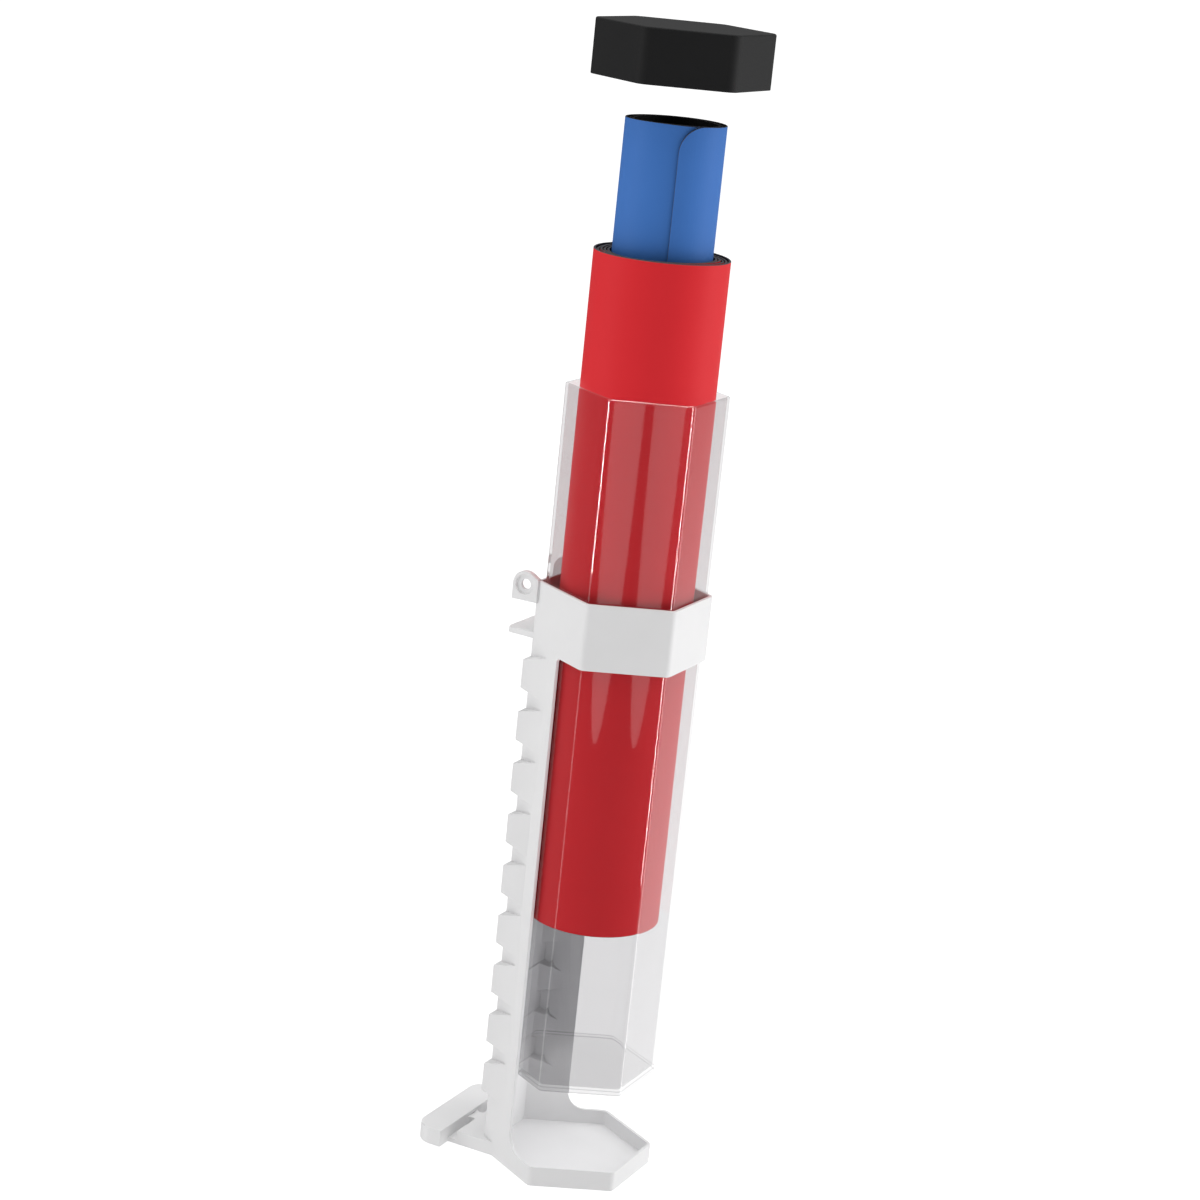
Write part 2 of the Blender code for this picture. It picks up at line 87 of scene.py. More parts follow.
around = math.radians(CAMERA_AZIMUTH)
aim = math.radians(CAMERA_AZIMUTH + CAMERA_YAW)
pitch = math.radians(CAMERA_PITCH)
roll = math.radians(CAMERA_ROLL)
level = Vector((-math.sin(aim), math.cos(aim), 0))
forward = level * math.cos(pitch) - Vector((0, 0, 1)) * math.sin(pitch)
right = forward.cross(Vector((0, 0, 1))).normalized()
up = right.cross(forward)
camera_x = right * math.cos(roll) + up * math.sin(roll)
camera_y = up * math.cos(roll) - right * math.sin(roll)

camera = bpy.data.objects.new("camera", bpy.data.cameras.new("camera"))
bpy.context.scene.collection.objects.link(camera)
camera.data.sensor_width = 36
camera.data.lens = CAMERA_LENS
camera.data.clip_end = 50
turn = Matrix((camera_x, camera_y, -forward)).transposed().to_4x4()
place = Vector((math.sin(around), -math.cos(around), 0)) * CAMERA_DISTANCE
camera.matrix_world = Matrix.Translation(place + Vector((0, 0, CAMERA_HEIGHT))) @ turn
bpy.context.scene.camera = camera
print("camera at", [round(c, 3) for c in camera.matrix_world.translation])

# %% [markdown]
# ## Shader maths
#
# Node trees are hard to read when every sum takes four lines. A small class wraps a socket, so
# that sums on it are written as ordinary Python, and each adds its Math node. Every other node
# comes from one method that takes the node's type, its settings and its inputs.

# %% Shader maths
class Wire:
    """An output socket that can stand in sums with other sockets and with numbers."""

    def __init__(self, finish, socket):
        self.finish = finish
        self.socket = socket

    def maths(self, operation, first, second):
        """Add a Math node on two values or wires."""
        return self.finish.node("ShaderNodeMath", {"operation": operation}, {0: first, 1: second})

    def __add__(self, other):
        return self.maths("ADD", self, other)

    def __sub__(self, other):
        return self.maths("SUBTRACT", self, other)

    def __rsub__(self, other):
        return self.maths("SUBTRACT", other, self)

    def __mul__(self, other):
        return self.maths("MULTIPLY", self, other)

    def __gt__(self, other):
        return self.maths("GREATER_THAN", self, other)

    __radd__ = __add__
    __rmul__ = __mul__


class Nodes:
    """A node tree in the making."""

    def __init__(self, tree):
        self.tree = tree

    def node(self, kind, settings=None, inputs=None, output=0):
        """Add a node, make its settings, then fill its sockets, and give back one output."""
        made = self.tree.nodes.new(kind)
        for name, value in (settings or {}).items():
            setattr(made, name, value)
        for name, value in (inputs or {}).items():
            self.fill(made.inputs[name], value)
        return Wire(self, made.outputs[output])

    def fill(self, socket, value):
        """Link a wire to a socket, or set the socket to a plain value."""
        if isinstance(value, Wire):
            self.tree.links.new(value.socket, socket)
        else:
            socket.default_value = value

    def ease(self, value, start, end):
        """0 up to start, 1 from end on, and a smooth step between them."""
        inputs = {"Value": value, "From Min": start, "From Max": end}
        return self.node("ShaderNodeMapRange", {"interpolation_type": "SMOOTHSTEP"}, inputs)

    def path(self, kind):
        """1 for rays of one kind, such as Is Camera Ray, and 0 for the others."""
        return self.node("ShaderNodeLightPath", output=kind)


class Finish(Nodes):
    """A material in the making."""

    def __init__(self, name):
        self.material = bpy.data.materials.new(name)
        self.material.use_nodes = True
        super().__init__(self.material.node_tree)
        self.shader = self.tree.nodes["Principled BSDF"]

    def set(self, **values):
        """Set or link sockets of the Principled shader; an underscore stands for a space."""
        for name, value in values.items():
            self.fill(self.shader.inputs[name.replace("_", " ")], value)

    def place(self):
        """Object coordinates: the set's own metres, which move with the piece."""
        return self.node("ShaderNodeTexCoord", output="Object")

    def noise(self, scale, detail, vector=None):
        """Noise from 0 to 1 with this many cells to a metre."""
        inputs = {"Vector": vector or self.place(), "Scale": scale, "Detail": detail}
        return self.node("ShaderNodeTexNoise", {"noise_dimensions": "3D"}, inputs)

    def tint(self, share, first, second):
        """Mix two colours, each plain or a wire, by a share from 0 to 1."""
        ends = [end if isinstance(end, Wire) else (*end, 1) for end in (first, second)]
        return self.node("ShaderNodeMix", {"data_type": "RGBA"},
                         {0: share, 6: ends[0], 7: ends[1]}, output=2)

    def bump(self, height, depth, strength):
        """A Bump node: height runs from 0 to 1 and stands for depth metres."""
        inputs = {"Height": height, "Distance": depth, "Strength": strength}
        return self.node("ShaderNodeBump", {}, inputs)


print("shader helpers ready")

# %% [markdown]
# ## Studio
#
# A wide pale floor and a white surround stand in for a white table in a white room. An
# environment texture could light the set too, but shapes that can be named and moved are
# easier to learn from. The surround's light is dim toward the side that faces the camera, so that
# clear plastic doesn't fog over.

# %% Pale floor
FLOOR_SIZE = 60.0
FLOOR_DROP = 0.5 * MM          # keeps the floor out of the cup's underside

floor_points = [(x * FLOOR_SIZE / 2, y * FLOOR_SIZE / 2, -FLOOR_DROP)
                for x, y in ((-1, -1), (1, -1), (1, 1), (-1, 1))]
floor_mesh = bpy.data.meshes.new("floor")
floor_mesh.from_pydata(floor_points, [], [(0, 1, 2, 3)])
floor = bpy.data.objects.new("floor", floor_mesh)
bpy.context.scene.collection.objects.link(floor)
pale = Finish("pale_floor")
pale.set(Base_Color=(0.45, 0.45, 0.45, 1), Roughness=0.9, Specular_IOR_Level=0.0,
         Emission_Color=(1, 1, 1, 1), Emission_Strength=0.76)
floor_mesh.materials.append(pale.material)
floor.visible_glossy = False
print("floor:", FLOOR_SIZE, "m wide")

# %% White surround
world = bpy.data.worlds.new("white_surround")
world.use_nodes = True
bpy.context.scene.world = world
bpy.context.scene.view_settings.view_transform = "Standard"

TO_THE_RIGHT = (0.904, -0.427, 0.0)


def light_surround(tree, dim, above, aside, seen):
    """White where the camera looks.  As light it is dim and brighter above.  Glossy surfaces,
    which see past the floor, find a bright low part to the right as well.  Strength = dim
    + above x ease of the height + aside x ease of the way right x ease of the way down."""
    sky = Nodes(tree)
    direction = sky.node("ShaderNodeTexCoord", output="Generated")
    rise = sky.node("ShaderNodeSeparateXYZ", {}, {"Vector": direction}, output="Z")

    sideways = sky.node("ShaderNodeVectorMath", {"operation": "DOT_PRODUCT"},
                        {0: direction, 1: TO_THE_RIGHT}, output="Value")
    strength = (dim + above * sky.ease(rise, 0.25, 0.9)
                + aside * sky.ease(sideways, 0.1, 0.75) * sky.ease(0 - rise, 0.0, 0.42))
    camera_ray = sky.path("Is Camera Ray")
    background = tree.nodes["Background"]
    background.inputs["Color"].default_value = (1, 1, 1, 1)
    sky.fill(background.inputs["Strength"],
             strength * (1 - camera_ray) + seen * camera_ray)


light_surround(world.node_tree, dim=0.08, above=1.0, aside=1.3, seen=1.1)
print("surround: white")

# %% [markdown]
# ## Lights
#
# Two tall soft lights stand at the sides and a wide one hangs overhead: they model the shapes.
# Clear plastic shows itself only by what it mirrors, so a few narrow lights are placed where the
# canister's rounded edges and its front flat mirror them. Light linking lets them shine on the
# canister alone, since on matt cloth and white plastic they would only wash out the shading.


# %% Lights
def soft_light(name, direction, distance, height, size, power, **seen_by):
    """A rectangular light that looks level at the axis from a direction in plan.  It stands at
    direction x distance from the axis."""
    data = bpy.data.lights.new(name, "AREA")
    data.shape = "RECTANGLE"
    data.size, data.size_y = size
    data.energy = power
    light = bpy.data.objects.new(name, data)
    bpy.context.scene.collection.objects.link(light)
    away = Vector((direction[0], direction[1], 0)).normalized()
    light.location = away * distance + Vector((0, 0, height))
    light.rotation_euler = (-away).to_track_quat("-Z", "Y").to_euler()
    light.visible_camera = False
    light.visible_transmission = False
    for kind, value in seen_by.items():
        setattr(light, kind, value)
    return light


def shine_only_on(light, catchers):
    """Light linking: only the objects in the collection catch this light."""
    light.light_linking.receiver_collection = catchers


LOOKING_DOWN = (0, 0, 0)
soft_light("left_softbox", (-0.60, 0.80), 1.1, 0.25, (0.5, 1.5), 4.6)
soft_light("right_softbox", (0.50, -0.87), 1.0, 0.25, (0.42, 1.5), 6.3)
overhead = soft_light("overhead", (0.2, 0.1), 0.2, 1.7, (1.4, 1.4), 7.0)
overhead.rotation_euler = LOOKING_DOWN
print("soft lights: left, right and overhead")

# %% Gleams on the canister
STRIP_DIRECTION = (-0.822, -0.569)     # where the front flat mirrors the camera
STRIP_ACROSS = Vector((0.569, -0.822, 0))
STRIP_PLACES = {"front_strip_left": -0.0162, "front_strip_right": 0.0108}    # along STRIP_ACROSS

gleam_catchers = bpy.data.collections.new("gleam_catchers")
gleams = [
    soft_light("left_gleam", (-0.70, 0.71), 1.1, 0.33, (0.13, 0.6), 16.0, visible_diffuse=False),
    soft_light("right_gleam", (-0.34, -0.94), 1.0, 0.20, (0.14, 0.8), 13.0,
               visible_diffuse=False)]
top_gleam = soft_light("top_gleam", (-0.2, -0.1), 0.2, 1.6, (1.2, 1.2), 85.0,
                       visible_diffuse=False)
top_gleam.rotation_euler = LOOKING_DOWN
gleams.append(top_gleam)
for name, aside in STRIP_PLACES.items():
    strip = soft_light(name, STRIP_DIRECTION, 0.62, 0.300, (0.021, 0.53), 0.041,
                       visible_diffuse=False)
    strip.data.shape = "ELLIPSE"
    strip.location += STRIP_ACROSS * aside
    gleams.append(strip)
for light in gleams:
    shine_only_on(light, gleam_catchers)
print("gleams:", [light.name for light in gleams])

# %% Light in the cup
# a small light just under the raised canister throws back the light that gathers in the cup
cup_fill_catchers = bpy.data.collections.new("cup_fill_catchers")
cup_fill = soft_light("cup_fill", (1, 0), 0.0, 0.045, (0.04, 0.04), 0.0065, visible_glossy=False)
cup_fill.rotation_euler = LOOKING_DOWN
shine_only_on(cup_fill, cup_fill_catchers)
print("cup fill at", round(cup_fill.location.z / MM), "mm")

# %% [markdown]
# ## Finishes
#
# Five finishes cover the set: white moulded plastic, black moulded plastic, clear plastic, and
# two coated cloths with a black back. Each gets the small unevenness of the real process, since
# an even colour looks like a drawing.
#
# The white moulding comes first. Its mould was eroded by sparks, which leaves a fine matt
# texture, and its shade drifts a little from place to place. Image textures could show both, but
# noise on the piece's own coordinates needs no file and has no seams.


# %% White moulded plastic
def white_moulding():
    """Colour = mix of two whites by slow noise; roughness and bump follow fine spark noise."""
    finish = Finish("white_moulding")
    shade = finish.noise(38.0, detail=3.0)
    spark = finish.noise(2600.0, detail=1.0)
    finish.set(Base_Color=finish.tint(shade, (0.755, 0.753, 0.757), (0.815, 0.812, 0.816)),
               Roughness=0.40 + 0.12 * spark,
               Normal=finish.bump(spark, 0.012 * MM, 0.6),
               Specular_IOR_Level=0.45)
    return finish.material


# %% [markdown]
# ## Black moulded plastic
#
# The cap is moulded in the same way, so its finish has the same two noises. Black plastic shows
# its texture by its sheen alone, so the bump is deeper and the surface rougher.


# %% Black moulded plastic
def black_moulding():
    """Colour = mix of two near-blacks by slow noise; roughness and bump follow spark noise."""
    finish = Finish("black_cap")
    spark = finish.noise(2200.0, detail=2.0)
    shade = finish.noise(30.0, detail=2.0)
    finish.set(Base_Color=finish.tint(shade, (0.0080, 0.0080, 0.0083), (0.0115, 0.0115, 0.0120)),
               Roughness=0.60 + 0.14 * spark,
               Normal=finish.bump(spark, 0.025 * MM, 0.6),
               Specular_IOR_Level=0.28)
    return finish.material


# %% [markdown]
# ## Clear plastic
#
# The canister's walls are thin and even, so they hardly bend the view behind them. A full glass
# shader would bend it too much on a modelled wall, so the body has a low index, and a clear coat
# on its outside gives the gleam of real plastic.

# %% Clear plastic
PAINTED_SHADE_HEIGHTS = (0.55 * MM, 2.45 * MM)    # heights of the painted shade lines above the foot, at the floor's two faces
PAINTED_SHADE_HALF_WIDTH = 0.45 * MM                  # half a painted shade line's width


def clear_plastic():
    """A body of low index under a clear coat.  Rays from lamps and from matt surfaces pass
    straight through, so what stands inside is lit without noise.  Two grey lines of painted shade
    run round the foot; they stand in for the dark lines that the thick floor makes where it turns
    light away: line = ease up to its middle x ease down after it."""
    finish = Finish("clear_canister")
    smear = finish.noise(60.0, detail=3.0)
    height = finish.node("ShaderNodeSeparateXYZ", {}, {"Vector": finish.place()}, output="Z")
    above_foot = height - tube_low.z
    # painted shade: two grey bands in the base colour, where the thick floor's faces would bend light
    # away
    painted_shade_lines = sum(finish.ease(above_foot, middle - PAINTED_SHADE_HALF_WIDTH, middle)
                     * (1 - finish.ease(above_foot, middle, middle + PAINTED_SHADE_HALF_WIDTH))
                     for middle in PAINTED_SHADE_HEIGHTS)
    outside = 1 - finish.node("ShaderNodeNewGeometry", output="Backfacing")
    finish.set(Base_Color=finish.tint(0.7 * painted_shade_lines, (0.77, 0.767, 0.773), (0.25, 0.25, 0.26)),
               Transmission_Weight=1.0, IOR=1.045,
               Roughness=0.01 + 0.03 * smear, Coat_Weight=outside, Coat_IOR=1.5,
               Coat_Roughness=0.02)
    straight = finish.node("ShaderNodeBsdfTransparent", {}, {"Color": (0.955, 0.955, 0.96, 1)})
    surface = Wire(finish, finish.shader.outputs[0])
    for kind in ("Is Diffuse Ray", "Is Shadow Ray"):
        surface = finish.node("ShaderNodeMixShader", {},
                              {0: finish.path(kind), 1: surface, 2: straight})
    finish.fill(finish.tree.nodes["Material Output"].inputs["Surface"], surface)
    return finish.material


# %% [markdown]
# ## Coated cloth
#
# The sheets are cloth with a coloured coating on one side and a black back. Three materials on
# one piece would do, but one material that reads a face_side attribute keeps the two sides of a
# strip together. Its grain lies on the flat sheet's own map, so it is rolled up with the cloth.


# %% Coated cloth
def coated_cloth(name, colour, lighter):
    """Coloured where face_side is 1, black where it is 0 and grey on the cut edges, where it is
    one half.  The grain follows the UV map, which is in metres of the flat sheet."""
    finish = Finish(name)
    side = finish.node("ShaderNodeAttribute", {"attribute_name": "face_side"}, output="Fac")
    face = side > 0.75
    edge = side > 0.25
    flat = finish.node("ShaderNodeUVMap", {"uv_map": "flat_sheet"})
    grain = finish.noise(1900.0, detail=2.0, vector=flat)
    cloud = finish.noise(26.0, detail=3.0, vector=flat)
    coloured = finish.tint(cloud, colour, lighter)
    back = finish.tint(grain, (0.010, 0.010, 0.011), (0.022, 0.022, 0.024))
    cut = finish.tint(grain, (0.075, 0.072, 0.074), (0.110, 0.106, 0.108))
    finish.set(Base_Color=finish.tint(face, finish.tint(edge, back, cut), coloured),
               Roughness=0.50 + 0.12 * grain + 0.12 * (1 - face),
               Normal=finish.bump(grain, 0.03 * MM, 0.5),
               Specular_IOR_Level=0.15)
    return finish.material


WHITE = white_moulding()
BLACK = black_moulding()
CLEAR = clear_plastic()
RED = coated_cloth("red_sheet", (0.66, 0.017, 0.024), (0.70, 0.021, 0.029))
BLUE = coated_cloth("blue_sheet", (0.043, 0.155, 0.47), (0.052, 0.175, 0.52))
print("finishes:", [item.name for item in (WHITE, BLACK, CLEAR, RED, BLUE)])

# %% [markdown]
# ## Mesh helpers
#
# Shapes could be drawn by hand in edit mode, but then a changed size means drawing them again.
# Here every new piece is a surface worked out as whole arrays: a closed outline carried along a
# path gives a grid of points, and neighbouring rows and columns are joined into faces.


# %% Mesh helpers
def grid_faces(rows, columns):
    """Quads between neighbouring rows, with the last column joined to the first."""
    row = np.arange(rows - 1)[:, None]
    column = np.arange(columns)[None, :]
    after = (column + 1) % columns
    first = row * columns + column
    second = row * columns + after
    return np.stack([first, second, second + columns, first + columns], axis=-1).reshape(-1, 4)


def object_from(name, mesh, smooth_angle, material=None):
    """An object from a mesh, with its faces turned outwards and its sharp edges marked."""
    bm = bmesh.new()
    bm.from_mesh(mesh)
    bmesh.ops.recalc_face_normals(bm, faces=bm.faces)
    bm.to_mesh(mesh)
    bm.free()
    mesh.shade_smooth()
    mesh.set_sharp_from_angle(angle=math.radians(smooth_angle))
    if material:
        mesh.materials.append(material)
    item = bpy.data.objects.new(name, mesh)
    bpy.context.scene.collection.objects.link(item)
    return item


def mesh_from(name, points, faces):
    """A mesh from an array of points and a list of faces."""
    mesh = bpy.data.meshes.new(name)
    mesh.from_pydata(points.reshape(-1, 3).tolist(), [], [list(map(int, face)) for face in faces])
    return mesh


def merge_doubles(mesh, distance):
    """Merge points that lie closer than distance, such as those at a pole."""
    bm = bmesh.new()
    bm.from_mesh(mesh)
    bmesh.ops.remove_doubles(bm, verts=bm.verts, dist=distance)
    bm.to_mesh(mesh)
    bm.free()


SMOOTH_ANGLE = 30              # degrees; sharper edges stay sharp
SAME_PLACE = 0.001 * MM


def make_object(name, points, faces, material=None):
    """An object from points and faces, with doubles merged and faces turned outwards."""
    mesh = mesh_from(name, points, faces)
    merge_doubles(mesh, SAME_PLACE)
    return object_from(name, mesh, SMOOTH_ANGLE, material)


def apply_modifiers(item):
    """Replace the mesh by the one that its modifiers give."""
    bpy.context.view_layer.update()
    done = bpy.data.meshes.new_from_object(item.evaluated_get(
        bpy.context.evaluated_depsgraph_get()))
    item.modifiers.clear()
    item.data = done


def steady_flats(item):
    """Let large flat faces set the shading at their borders, so that flats mirror as flats."""
    item.modifiers.new("steady_flats", "WEIGHTED_NORMAL").keep_sharp = True
    apply_modifiers(item)


def arc(centre, radius, start, end, steps):
    """Points on an arc: centre + radius x (cos a, sin a), for angles a in degrees."""
    angle = np.radians(np.linspace(start, end, steps + 1))
    return np.stack([centre[0] + radius * np.cos(angle), centre[1] + radius * np.sin(angle)], 1)


def prism(outline, axis, low, high):
    """A flat outline carried straight along one axis from low to high, with its two ends filled.
    The outline's two numbers are the other two coordinates, in X, Y, Z order."""
    outline = np.asarray(outline, float)
    count = len(outline)
    points = np.zeros((2, count, 3))
    others = [i for i in range(3) if i != axis]
    points[:, :, others] = outline
    points[0, :, axis] = low
    points[1, :, axis] = high
    ends = [list(range(count)), list(range(count, 2 * count))]
    return points, [list(face) for face in grid_faces(2, count)] + ends


def hexagon(steps):
    """The path round a hexagon with flats facing +Y and -Y, as corner centres (for a unit
    distance from the axis to a corner) and outward normals: at each corner the normal turns
    through 60 degrees, and it stays as it is along the flats."""
    centre, normal = [], []
    for corner in range(6):
        middle = math.radians(60 * corner)
        turn = middle + np.radians(np.linspace(-30, 30, steps + 1))
        centre.append(np.tile([math.cos(middle), math.sin(middle)], (steps + 1, 1)))
        normal.append(np.stack([np.cos(turn), np.sin(turn)], 1))
    return np.concatenate(centre), np.concatenate(normal)


def hexagon_shell(name, apothem, corner, profile, material, steps=10):
    """A hexagonal turned shape.  Each entry of profile is (shrink, offset, z), and its ring is
    shrink x (corner centre + (corner radius + offset) x normal) at height z."""
    centre, normal = hexagon(steps)
    reach = (apothem - corner) / COS_30
    profile = np.asarray(profile, float)
    shrink, offset, height = profile[:, 0, None], profile[:, 1, None], profile[:, 2, None]
    x = shrink * (reach * centre[:, 0] + (corner + offset) * normal[:, 0])
    y = shrink * (reach * centre[:, 1] + (corner + offset) * normal[:, 1])
    points = np.stack([x, y, np.broadcast_to(height, x.shape)], axis=-1)
    faces = grid_faces(len(profile), len(centre))
    item = make_object(name, points, faces, material)
    steady_flats(item)
    return item


def rounded(centre, radius, start, end, steps=4):
    """Profile entries (shrink 1) on an arc in the plane of offset and height."""
    return [(1.0, offset, z) for offset, z in arc(centre, radius, start, end, steps)]


print("mesh helpers ready")

# %% [markdown]
# ## Canister
#
# The canister is a moulded hexagonal tube with thin walls and a thicker floor. A six-sided
# cylinder with a Solidify modifier would come close, but its floor would be as thin as its walls
# and its corners sharp. It is one closed wall with an inside and an outside, because light has to
# cross both faces to bend and gleam as it does in real plastic. One profile goes up the outside,
# over the rim and down the inside, and is carried round a hexagon with rounded corners.

# %% Canister
TUBE_WALL = 1.5 * MM
TUBE_FLOOR = 3.0 * MM
TUBE_CORNER = 3.2 * MM
TUBE_RIM = 0.74 * MM
TUBE_FOOT = 0.8 * MM
TUBE_FILLET = 0.6 * MM


def canister():
    """Up the outside, over the rim, down the inside and across the floor, round a hexagon."""
    low, high = tube_low.z, tube_high.z
    floor_z = low + TUBE_FLOOR
    profile = [(0.0, -TUBE_FOOT, low), (0.5, -TUBE_FOOT, low)]
    profile += rounded((-TUBE_FOOT, low + TUBE_FOOT), TUBE_FOOT, -90, 0)
    profile += [(1.0, 0.0, z) for z in np.linspace(low + 2 * TUBE_FOOT, high - 2 * TUBE_RIM, 12)]
    profile += rounded((-TUBE_RIM, high - TUBE_RIM), TUBE_RIM, 0, 90)
    profile += rounded((TUBE_RIM - TUBE_WALL, high - TUBE_RIM), TUBE_RIM, 90, 180)
    profile += [(1.0, -TUBE_WALL, z)
                for z in np.linspace(high - 2 * TUBE_RIM, floor_z + 2 * TUBE_FILLET, 12)]
    profile += rounded((-TUBE_WALL - TUBE_FILLET, floor_z + TUBE_FILLET), TUBE_FILLET, 0, -90)
    profile += [(0.5, -TUBE_WALL - TUBE_FILLET, floor_z), (0.0, -TUBE_WALL, floor_z)]
    return hexagon_shell("canister", tube_high.y, TUBE_CORNER, profile, CLEAR)


canister_piece = canister()
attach(canister_piece, "canister")
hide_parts("canister_tube")
gleam_catchers.objects.link(canister_piece)
print("canister:", len(canister_piece.data.polygons), "faces")

# %% [markdown]
# ## Cap
#
# A plain black cap that fits over the canister's mouth. Its corners are rounder than the
# canister's, its upper edge is eased, and it is hollow from below. It could be a scaled box with a
# bevel, but the same carried profile as the canister's gives it a real wall and a true fit.

# %% Cap
CAP_CORNER = 6.0 * MM
CAP_WALL = 2.25 * MM
CAP_TOP = 2.4 * MM
CAP_EDGE = 0.9 * MM
CAP_LIP = 0.35 * MM


def cap():
    """From the middle of the top out, down the outside, up the inside and across the ceiling."""
    low, high = cap_low.z, cap_high.z
    ceiling = high - CAP_TOP
    profile = [(0.0, -CAP_EDGE, high), (0.6, -CAP_EDGE, high), (0.9, -CAP_EDGE, high)]
    profile += rounded((-CAP_EDGE, high - CAP_EDGE), CAP_EDGE, 90, 0, 6)
    profile += [(1.0, 0.0, z) for z in np.linspace(high - 2 * CAP_EDGE, low + 2 * CAP_LIP, 5)]
    profile += rounded((-CAP_LIP, low + CAP_LIP), CAP_LIP, 0, -90)
    profile += rounded((CAP_LIP - CAP_WALL, low + CAP_LIP), CAP_LIP, -90, -180)
    profile += [(1.0, -CAP_WALL, z) for z in np.linspace(low + 2 * CAP_LIP, ceiling - CAP_EDGE, 5)]
    profile += rounded((-CAP_WALL - CAP_EDGE, ceiling - CAP_EDGE), CAP_EDGE, 0, 90)
    profile += [(0.5, -CAP_WALL, ceiling), (0.0, -CAP_WALL, ceiling)]
    return hexagon_shell("hexagonal_cap", cap_high.y, CAP_CORNER, profile, BLACK, steps=14)


cap_piece = cap()
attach(cap_piece, "cap_body")
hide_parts("cap")
print("cap:", len(cap_piece.data.polygons), "faces")

# %% [markdown]
# ## Rolled sheets
#
# Each sheet is a real length of coated cloth wound on itself. A tube with a painted end would do
# from afar, but its layers could not be counted. So it is made as a strip: a point is given by
# how far along the sheet it lies and how high up its width. The strip's line in plan is a spiral,
# and its loose end has rounded corners. A closed loop of points goes up the coloured face and
# down the black back, and is carried along the spiral.

# %% Rolled sheets, their line in plan
SHEET_PITCH = 1.56 * MM        # from layer to layer
SHEET_THICK = 1.12 * MM
SHEET_EASE = 0.16 * MM         # how much the cut edges are eased
SHEET_CORNER = 12.0 * MM
TURN_STEPS = 96
WIDTH_STEPS = 26
SINK_FROM = 0.74               # share of a turn after which it sinks under the layer above
END_STEPS = 16                 # closer points over this many degrees at the loose end
END_DEGREES = 40


def spiral(radius, turns, start):
    """Outer radius, angle and length along the sheet, walked counterclockwise from its loose end.
    A turn is round for most of its way and sinks by one pitch over its last quarter, under the
    start of the layer above: radius - pitch x (whole turns + ease of the share of this turn).
    The loose end has closer points, so that its corners are round."""
    share = np.linspace(0, 1, int(turns * TURN_STEPS) + 1)
    angle = share * turns * 2 * math.pi
    end = np.radians(np.linspace(0, 1, END_STEPS + 1) ** 2 * END_DEGREES)
    angle = np.unique(np.round(np.concatenate([angle, end]), 9))
    whole, part = np.divmod(angle / (2 * math.pi), 1)
    sink = np.clip((part - SINK_FROM) / (1 - SINK_FROM), 0, 1)
    layer = radius - SHEET_PITCH * (whole + sink * sink * (3 - 2 * sink))
    step = np.hypot(np.diff(layer), 0.5 * (layer[1:] + layer[:-1]) * np.diff(angle))
    length = np.concatenate([[0], np.cumsum(step)])
    return layer, angle + math.radians(start), length


def strip_width(length, total, width):
    """Lowest and highest point of the strip along its length: at a loose end's rounded corner
    the edge is a quarter circle, corner - sqrt(corner^2 - (corner - length)^2) from the side."""
    near = np.clip(SHEET_CORNER - length, 0, SHEET_CORNER)
    far = np.clip(SHEET_CORNER - (total - length), 0, SHEET_CORNER)
    cut = SHEET_CORNER - np.sqrt(SHEET_CORNER ** 2 - np.maximum(near, far) ** 2)
    return cut, width - cut


print("layers lie", round(SHEET_PITCH / MM, 2), "mm apart")


# %% Rolled sheets, the loop round the strip
def strip_loop():
    """The closed loop round the strip's cut: up the face, over the top edge, down the back and
    under the bottom edge.  Height is 0 to 1 up the strip, inward is the depth from the face, and
    shift moves the four corners in, so that the cut edges are eased."""
    up = np.linspace(0, 1, WIDTH_STEPS)
    ease = np.zeros(WIDTH_STEPS)
    ease[0] = SHEET_EASE
    ease[-1] = -SHEET_EASE
    over = np.array([SHEET_EASE, SHEET_THICK - SHEET_EASE])
    height = np.concatenate([up, [1, 1], up[::-1], [0, 0]])
    inward = np.concatenate([np.zeros(WIDTH_STEPS), over,
                             np.full(WIDTH_STEPS, SHEET_THICK), over[::-1]])
    shift = np.concatenate([ease, [0, 0], ease[::-1], [0, 0]])
    return height, inward, shift


def strip_ends(rows, columns):
    """Faces that close the strip's two cut ends, each a ladder of quads from face to back."""
    faces = []
    for row in (0, rows - 1):
        ring = row * columns + np.arange(columns)
        front = ring[:WIDTH_STEPS]
        back = ring[WIDTH_STEPS + 2:2 * WIDTH_STEPS + 2][::-1]
        faces += [[front[i], front[i + 1], back[i + 1], back[i]] for i in range(WIDTH_STEPS - 1)]
        faces.append([front[-1], ring[WIDTH_STEPS], ring[WIDTH_STEPS + 1], back[-1]])
        faces.append([front[0], back[0], ring[-2], ring[-1]])
    return faces


def mark_sheet(mesh, rows, length, across):
    """Give a strip its UV map, in metres of the flat sheet, and its face_side attribute: 1 on the
    coloured face, 0 on the back and one half on every cut edge."""
    flat = np.stack([np.broadcast_to(length[:, None], across.shape), across], -1).reshape(-1, 2)
    flat_map = mesh.uv_layers.new(name="flat_sheet")
    corner_point = np.empty(len(mesh.loops), np.int32)
    mesh.loops.foreach_get("vertex_index", corner_point)
    flat_map.data.foreach_set("uv", flat[corner_point].astype(np.float32).ravel())
    column = np.tile(np.arange(across.shape[1]), rows - 1)
    on_face = column < WIDTH_STEPS - 1
    on_back = (column > WIDTH_STEPS) & (column < 2 * WIDTH_STEPS + 2)
    side = np.full(len(mesh.polygons), 0.5, np.float32)
    side[:len(column)] = np.where(on_face, 1.0, np.where(on_back, 0.0, 0.5))
    mesh.attributes.new("face_side", "FLOAT", "FACE").data.foreach_set("value", side)


print("a strip's loop has", len(strip_loop()[0]), "points")


# %% Rolled sheets, the strip wound up
OUT_OF_ROUND = 0.06 * MM
SHEET_SMOOTH_ANGLE = 35


